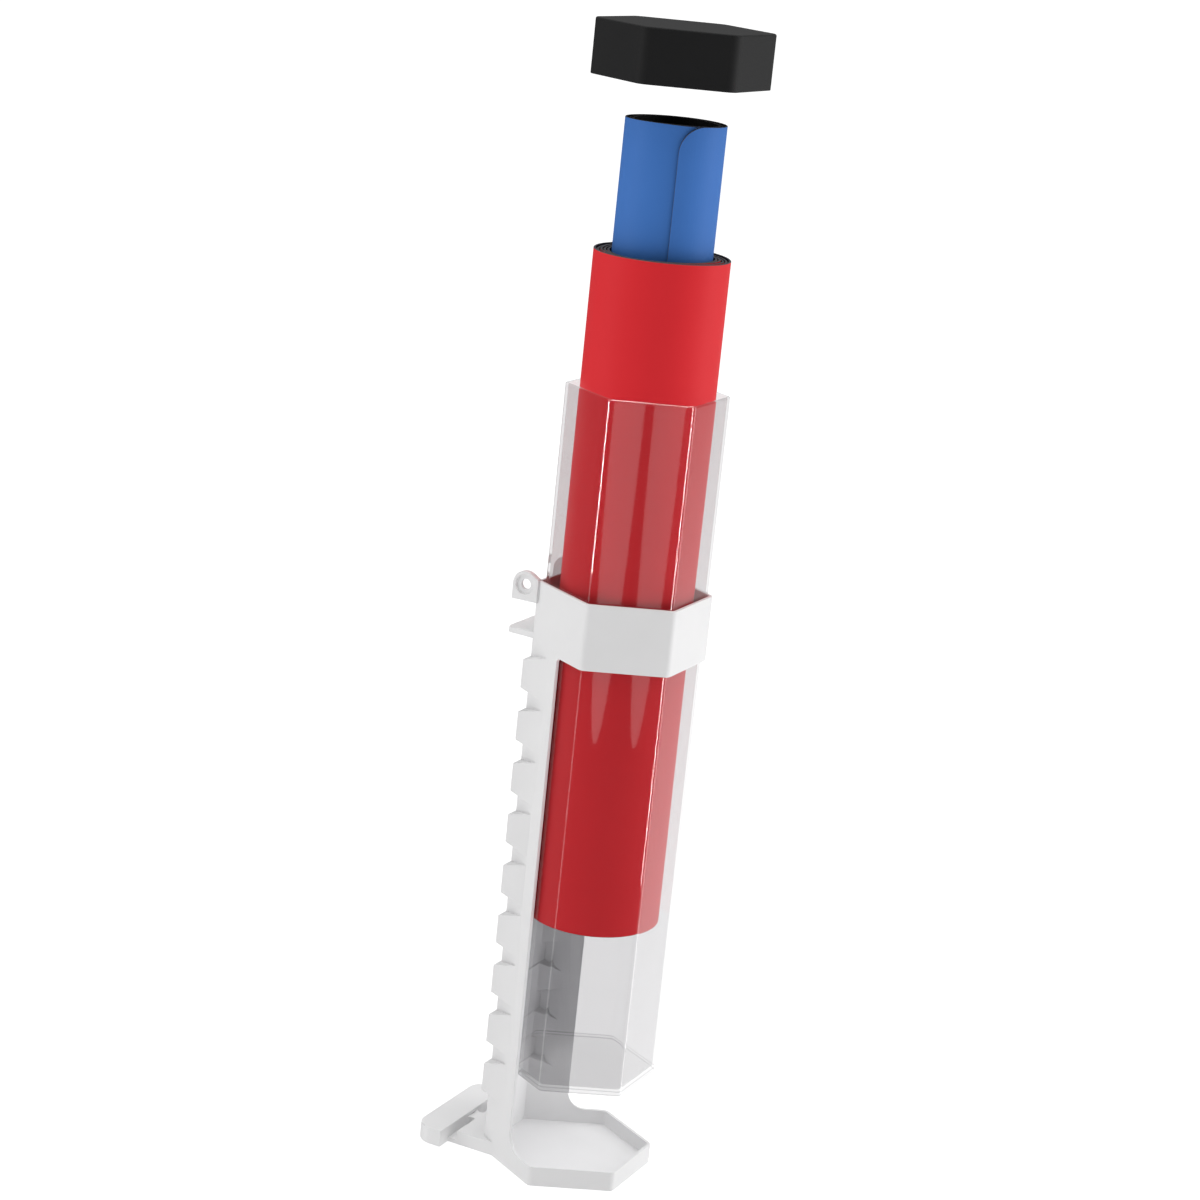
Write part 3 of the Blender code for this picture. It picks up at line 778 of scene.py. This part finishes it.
def slow_waves(angle, across, width, wobble):
    """Layers don't lie quite flush or quite round.  Flush is how far a layer is pushed in along
    the axis, a constant and two slow waves of the turn; slack and oval are waves in the radius."""
    turn = (angle - angle[0])[:, None]
    inner = np.clip(turn / (2 * math.pi), 0, 1)
    flush = inner * wobble * (0.5 + 0.28 * np.sin(1.9 * turn) + 0.22 * np.sin(0.73 * turn + 1.1))
    flush = flush * (1 - 2 * (across > 0.5 * width))
    slack = inner * OUT_OF_ROUND * np.sin(3.1 * turn + 9.0 * across / width)
    oval = -OUT_OF_ROUND * (1 + np.cos(2 * angle[:, None] + 6.0 * across / width))
    return flush, slack + oval


def rolled_sheet(name, radius, turns, start, low, high, wobble, material):
    """A closed strip carried along a spiral: a point is reach x (cos a, sin a) in plan, where
    reach is the layer's radius, less the depth from the face, with its slow waves."""
    layer, angle, length = spiral(radius, turns, start)
    bottom, top = strip_width(length, length[-1], high - low)
    height, inward, shift = strip_loop()
    across = bottom[:, None] + (top - bottom)[:, None] * height + shift
    flush, waves = slow_waves(angle, across, high - low, wobble)
    reach = layer[:, None] + waves - inward
    points = np.stack([reach * np.cos(angle)[:, None], reach * np.sin(angle)[:, None],
                       low + across + flush], axis=-1)
    rows, columns = points.shape[:2]
    faces = [list(face) for face in grid_faces(rows, columns)] + strip_ends(rows, columns)
    mesh = mesh_from(name, points, faces)
    mark_sheet(mesh, rows, length, across)
    item = object_from(name, mesh, SHEET_SMOOTH_ANGLE, material)
    print(f"{name}: {turns} turns, flat {(high - low) / MM:.0f} x {length[-1] / MM:.0f} mm,",
          len(mesh.polygons), "faces")
    return item, length[-1]


# %% [markdown]
# ## The two rolls
#
# The red roll stands in the canister and the blue one in the red. Both strips are made with the
# size that they were cut to before they were rolled up: their width is the roll's height, and
# their length is measured along the spiral.

# %% Both rolls
RED_TURNS, RED_START = 5.0, 52.0
BLUE_TURNS, BLUE_START = 3.0, 211.5

red_piece, red_length = rolled_sheet("red_sheet", red_high.x, RED_TURNS, RED_START,
                                     red_low.z, red_high.z, 1.0 * MM, RED)
blue_piece, blue_length = rolled_sheet("blue_sheet", blue_high.x, BLUE_TURNS, BLUE_START,
                                       blue_low.z, blue_high.z, 0.8 * MM, BLUE)
for piece, body, node, slot, long, rest in (
        (red_piece, "red_roll", "red_sheet_roll", "red_sheet", red_length, "canister"),
        (blue_piece, "blue_roll", "blue_sheet_roll", "blue_sheet", blue_length, "red_sheet")):
    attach(piece, body)
    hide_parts(node)

# %% [markdown]
# ## Bracket
#
# The bracket is one white moulding. Its spine is a channel that holds three sides of the
# canister, with nine hollow wedge teeth behind, a collar round the canister's middle and a
# shallow cup under its foot. A hook foot, two eyes and a thin catch stick out of the back. Here
# it starts as a solid six-sided bar, other solids are joined to it, and then the bore, the front
# window and the teeth's pockets are cut out, in the order in which a model maker would do it. One
# grid of points could not follow a shape with so many openings, so Boolean modifiers do the
# joining and the cutting.

# %% Bracket sizes
WALL = 1.7 * MM
OUTER = cup_high.y             # apothem of the hexagon
INNER = OUTER - WALL
CORNER = 3.5 * MM
TOOTH_BACK = spine_high.y
BACK = TOOTH_BACK - 0.6 * MM
TOP = spine_high.z
RIM = cup_high.z
COLLAR_LOW = collar_low.z
CUP_FLOOR = 2.5 * MM
TOOTH_COUNT = 9
TOOTH_PITCH = 25.4 * MM
TOOTH_TIP = 13.8 * MM
TOOTH_HALF_WIDTH = 26.0 * MM
TOOTH_REACH = 19.0 * MM        # from a tooth's back to its root
POCKET_REACH = 24.0 * MM       # its pocket goes on into the bore
TOOTH_FIRST = COLLAR_LOW - 5.6 * MM - TOOTH_TIP
TOP_SLOPE = math.tan(math.radians(14))
UNDER_SLOPE = math.tan(math.radians(19))
WINDOW_LENGTH = 22.0 * MM
PAST = 3.0 * MM                # how far a cutter runs past the face it opens
INTO = 1.2 * MM                # how far an added solid starts inside the back
WELL_PAST = 60.0 * MM          # far outside the bracket's sides

LUG_OUTER = -lug_low.x
LUG_THICK = 3.2 * MM
LUG_RADIUS = 6.4 * MM
LUG_BELOW_EYE = 7.6 * MM
LUG_TOP_FALL = 2.2 * MM
EYE_Y = BACK + 5.6 * MM
EYE_Z = TOP - 2.9 * MM
EYE_RADIUS = 2.4 * MM
RECESS_RADIUS = 4.7 * MM
RECESS_DEPTH = 1.1 * MM
CATCH_CHAMFER_WIDTH = 4.0 * MM
CATCH_CHAMFER_DEPTH = 1.0 * MM

BAR_FRONT = foot_high.y - 15.0 * MM
BAR_CORNER = 9.5 * MM
BLOCK_BACK = BAR_FRONT - 4.6 * MM
FOOT_HALF_WIDTH = 23.4 * MM
FOOT_START = 28.0 * MM         # inside the cup's back wall
FOOT_FLOOR = 2.4 * MM
BLOCK_LOW, BLOCK_HIGH = 1.0 * MM, 7.0 * MM
RIB_LOW, RIB_HIGH = 1.2 * MM, 6.4 * MM
RIB_HALF = 4.0 * MM
RIB_ROUND = 2.2 * MM
print(f"teeth {TOOTH_COUNT}, eye at y {EYE_Y / MM:.1f} z {EYE_Z / MM:.1f} mm")


# %% Bracket outlines
def plan(apothem, back, corner, steps=6):
    """The bracket in plan: a hexagon with its back flat moved out to back, and its other four
    corners rounded by arcs round corner centres."""
    half_back = (apothem - back / 2) / COS_30
    reach = (apothem - corner) / COS_30
    points = [(half_back, back), (-half_back, back)]
    for k in (3, 4, 5, 6):
        middle = 60 * k
        centre = (reach * math.cos(math.radians(middle)), reach * math.sin(math.radians(middle)))
        points += arc(centre, corner, middle - 30, middle + 30, steps).tolist()
    return points


# %% Bracket solids
def joined(name, shapes):
    """Put several closed shapes that stay clear of each other into one mesh."""
    points, faces, count = [], [], 0
    for shape_points, shape_faces in shapes:
        flat = np.asarray(shape_points).reshape(-1, 3)
        points.append(flat)
        faces += [[index + count for index in face] for face in shape_faces]
        count += len(flat)
    return make_object(name, np.concatenate(points), faces)


def tooth(tip_z, inset, reach):
    """A wedge across the back: its side view has a flat back from tip_z up, a top that rises and
    an underside that falls toward the front."""
    half = TOOTH_HALF_WIDTH - inset
    back, front = TOOTH_BACK - inset, TOOTH_BACK - reach
    low, high = tip_z + inset, tip_z + TOOTH_TIP - inset
    run = reach - inset
    side = [(back, low), (back, high), (front, high + run * TOP_SLOPE),
            (front, low - run * UNDER_SLOPE)]
    return prism(side, 0, -half, half)


def window_side(sign):
    """The end of the front window at a wing.  Along the wing's flat, toward the front, it starts
    at the flat's middle, with a wide round above the cup and a small one under the collar.  It is
    drawn level and then turned through 60 degrees, to lie on the wing."""
    low_round, high_round = 9.0 * MM, 2.0 * MM
    outline = np.concatenate([
        arc((low_round, RIM + low_round), low_round, 270, 180, 8),
        arc((high_round, COLLAR_LOW - high_round), high_round, 180, 90, 4),
        [(WINDOW_LENGTH, COLLAR_LOW), (WINDOW_LENGTH, RIM)]])
    points, faces = prism(outline, 1, OUTER - WALL - PAST, OUTER + PAST)
    along, away, height = points[..., 0], points[..., 1], points[..., 2]
    x = sign * (COS_30 * away + 0.5 * along)
    y = 0.5 * away - COS_30 * along
    return np.stack([x, y, height], axis=-1), faces


def box_shape(low, high):
    """A box between two opposite corners."""
    outline = [(low[0], low[1]), (high[0], low[1]), (high[0], high[1]), (low[0], high[1])]
    return prism(outline, 2, low[2], high[2])


def lug_outline():
    """An eye lug from the side: square below, an arc round the eye above, falling to the wing."""
    front = BACK - INTO
    low = EYE_Z - LUG_BELOW_EYE
    top = [(front, EYE_Z + LUG_RADIUS * COS_30 - LUG_TOP_FALL)]
    round_top = arc((EYE_Y, EYE_Z), LUG_RADIUS, 0, 120, 14).tolist()
    return [(front, low), (EYE_Y + LUG_RADIUS, low)] + round_top + top


def eye_cutter(radius, low, high, steps=40):
    """A cylinder along X on the eyes' centre: a circle carried from low to high."""
    circle = arc((EYE_Y, EYE_Z), radius, 0, 360 - 360 / steps, steps - 1)
    return prism(circle, 0, low, high)


print("bracket outlines ready")


# %% Joining and cutting
def unite(item, operation, name, shapes):
    """Join shapes to item, or cut them out of it, and apply that at once."""
    other = joined(name, shapes)
    modifier = item.modifiers.new(name, "BOOLEAN")
    modifier.operation = operation
    modifier.solver = "EXACT"
    modifier.object = other
    apply_modifiers(item)
    bpy.data.objects.remove(other)


print("joining and cutting ready")


# %% Bracket, solids joined
def add_lugs_and_catch(base):
    """Two lugs with eyes behind the collar, and the thin catch shelf under them."""
    unite(base, "UNION", "lugs", [
        prism(lug_outline(), 0, -LUG_OUTER, LUG_THICK - LUG_OUTER),
        prism(lug_outline(), 0, LUG_OUTER - LUG_THICK, LUG_OUTER)])
    half, back = catch_high.x, catch_high.y
    front, side = BACK - INTO, back - CATCH_CHAMFER_DEPTH
    end = half - CATCH_CHAMFER_WIDTH
    shelf = [(-half, front), (half, front), (half, side), (end, back), (-end, back),
             (-half, side)]
    unite(base, "UNION", "catch", [prism(shelf, 2, catch_low.z, catch_high.z)])


def rib_outline():
    """The rib between block and bar in plan, with a concave quarter circle in each corner."""
    outer = RIB_HALF + RIB_ROUND
    near, far = BLOCK_BACK + RIB_ROUND, BAR_FRONT - RIB_ROUND
    lap = 1.0 * MM
    return np.concatenate([
        arc((-outer, near), RIB_ROUND, 270, 360, 6),
        arc((-outer, far), RIB_ROUND, 0, 90, 6),
        [(-RIB_HALF, BAR_FRONT + lap), (RIB_HALF, BAR_FRONT + lap)],
        arc((outer, far), RIB_ROUND, 90, 180, 6),
        arc((outer, near), RIB_ROUND, 180, 270, 6),
        [(RIB_HALF, BLOCK_BACK - lap), (-RIB_HALF, BLOCK_BACK - lap)]])


def add_foot(base):
    """The hook foot: a bar with round outer corners, a thin neck, a block and a rib."""
    half, centre_y = foot_high.x, foot_high.y - BAR_CORNER
    bar = [(-half, BAR_FRONT), (half, BAR_FRONT)]
    bar += arc((half - BAR_CORNER, centre_y), BAR_CORNER, 0, 90, 10).tolist()
    bar += arc((BAR_CORNER - half, centre_y), BAR_CORNER, 90, 180, 10).tolist()
    unite(base, "UNION", "bar", [prism(bar, 2, 0.0, foot_high.z)])
    neck_back = BAR_FRONT + 2 * MM
    unite(base, "UNION", "neck", [box_shape((-FOOT_HALF_WIDTH, FOOT_START, 0.0),
                                            (FOOT_HALF_WIDTH, neck_back, FOOT_FLOOR))])
    unite(base, "UNION", "block", [box_shape((-FOOT_HALF_WIDTH, FOOT_START, BLOCK_LOW),
                                             (FOOT_HALF_WIDTH, BLOCK_BACK, BLOCK_HIGH))])
    unite(base, "UNION", "rib", [prism(rib_outline(), 2, RIB_LOW, RIB_HIGH)])


# %% Bracket, openings cut
def cut_openings(base, tips):
    """The bore, the front window, the teeth's pockets, and the eyes with their recesses."""
    inside = plan(INNER, BACK - WALL, CORNER - WALL)
    unite(base, "DIFFERENCE", "bore", [prism(inside, 2, CUP_FLOOR, TOP + PAST)])
    unite(base, "DIFFERENCE", "window_left", [window_side(-1)])
    unite(base, "DIFFERENCE", "window_right", [window_side(1)])
    unite(base, "DIFFERENCE", "window_front", [
        box_shape((-WELL_PAST, -WELL_PAST, RIM), (WELL_PAST, PAST, COLLAR_LOW))])
    unite(base, "DIFFERENCE", "pockets", [tooth(tip, WALL, POCKET_REACH) for tip in tips])
    far = WELL_PAST / 2
    unite(base, "DIFFERENCE", "eye", [eye_cutter(EYE_RADIUS, -far, far)])
    unite(base, "DIFFERENCE", "recesses", [
        eye_cutter(RECESS_RADIUS, -far, RECESS_DEPTH - LUG_OUTER),
        eye_cutter(RECESS_RADIUS, LUG_OUTER - RECESS_DEPTH, far)])


def bracket():
    """A solid bar with teeth, lugs, catch and foot joined on, then hollowed."""
    base = joined("bracket", [prism(plan(OUTER, BACK, CORNER), 2, 0.0, TOP)])
    tips = [TOOTH_FIRST - i * TOOTH_PITCH for i in range(TOOTH_COUNT)]
    unite(base, "UNION", "teeth", [tooth(tip, 0.0, TOOTH_REACH) for tip in tips])
    add_lugs_and_catch(base)
    add_foot(base)
    cut_openings(base, tips)
    return base


bracket_piece = bracket()
print("bracket:", len(bracket_piece.data.polygons), "faces before its edges are rounded")


# %% [markdown]
# ## The bracket's edges
#
# A moulding has no sharp edges: each one catches a thin line of light. Rounding every edge by hand
# would take long, so a narrow bevel goes round all of them at once. The Boolean modifiers leave
# loose points and faces with many corners, so the mesh is cleaned and cut into triangles first.

# %% Bracket, edges rounded
EDGE_ROUND = 0.35 * MM
EDGE_ANGLE = math.radians(32)
NEARLY_FLAT = math.radians(0.5)


def finish_bracket(item):
    """Clean the joined mesh, then round its edges with a narrow bevel."""
    mesh = item.data
    merge_doubles(mesh, 0.01 * MM)
    bm = bmesh.new()
    bm.from_mesh(mesh)
    bmesh.ops.dissolve_limit(bm, angle_limit=NEARLY_FLAT, verts=bm.verts, edges=bm.edges)
    bmesh.ops.triangulate(bm, faces=bm.faces)
    bm.to_mesh(mesh)
    bm.free()
    rounding = item.modifiers.new("rounding", "BEVEL")
    rounding.width = EDGE_ROUND
    rounding.segments = 2
    rounding.limit_method = "ANGLE"
    rounding.angle_limit = EDGE_ANGLE
    rounding.use_clamp_overlap = False
    apply_modifiers(item)
    item.data.materials.clear()
    item.data.materials.append(WHITE)
    item.data.shade_smooth()
    item.data.set_sharp_from_angle(angle=EDGE_ANGLE)
    steady_flats(item)


finish_bracket(bracket_piece)
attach(bracket_piece, "bracket")
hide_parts("bracket_cup", "bracket_spine", "bracket_collar", "bracket_lug_left",
            "bracket_lug_right", "bracket_catch", "bracket_foot")
cup_fill_catchers.objects.link(bracket_piece)
print("bracket:", len(bracket_piece.data.polygons), "faces")
